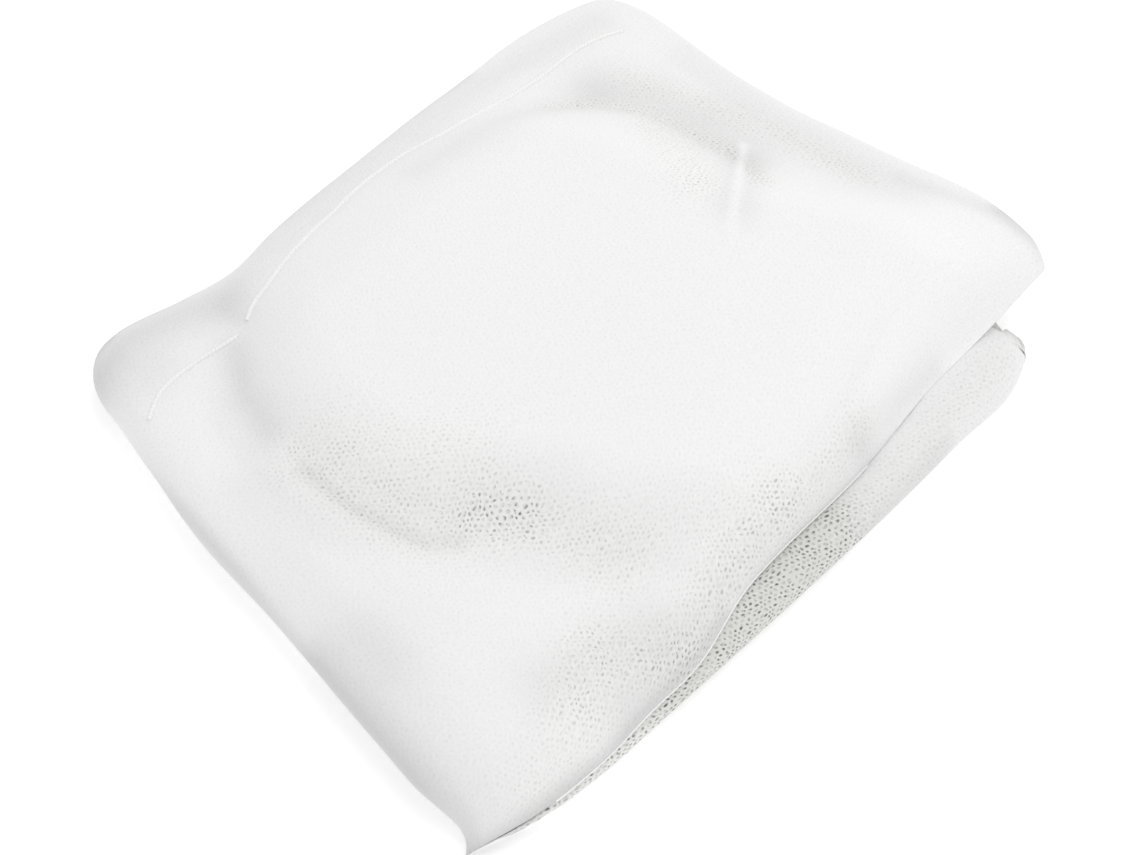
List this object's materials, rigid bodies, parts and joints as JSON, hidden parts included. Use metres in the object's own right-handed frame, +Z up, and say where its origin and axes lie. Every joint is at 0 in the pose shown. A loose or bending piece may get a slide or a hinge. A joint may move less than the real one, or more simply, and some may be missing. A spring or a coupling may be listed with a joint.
{
  "type": "folded mosquito net",
  "caption": "Mosquito net of fine white knitted mesh, folded flat into a soft packet with one rolled fold, a raised middle and layers that part at the open side.",
  "frame": {"origin": "middle of the packet's outline, on the flat underside that it lies on", "axes": "+X from the rolled fold towards the open ends, +Y from the near side, where the two bundles part, towards the far side, +Z up"},
  "size_m": [0.3028, 0.2532, 0.0488],
  "materials": {
    "netting": "soft matt warp-knitted mesh"
  },
  "bodies": {
    "root": {"net": "netting"}
  },
  "joints": []
}
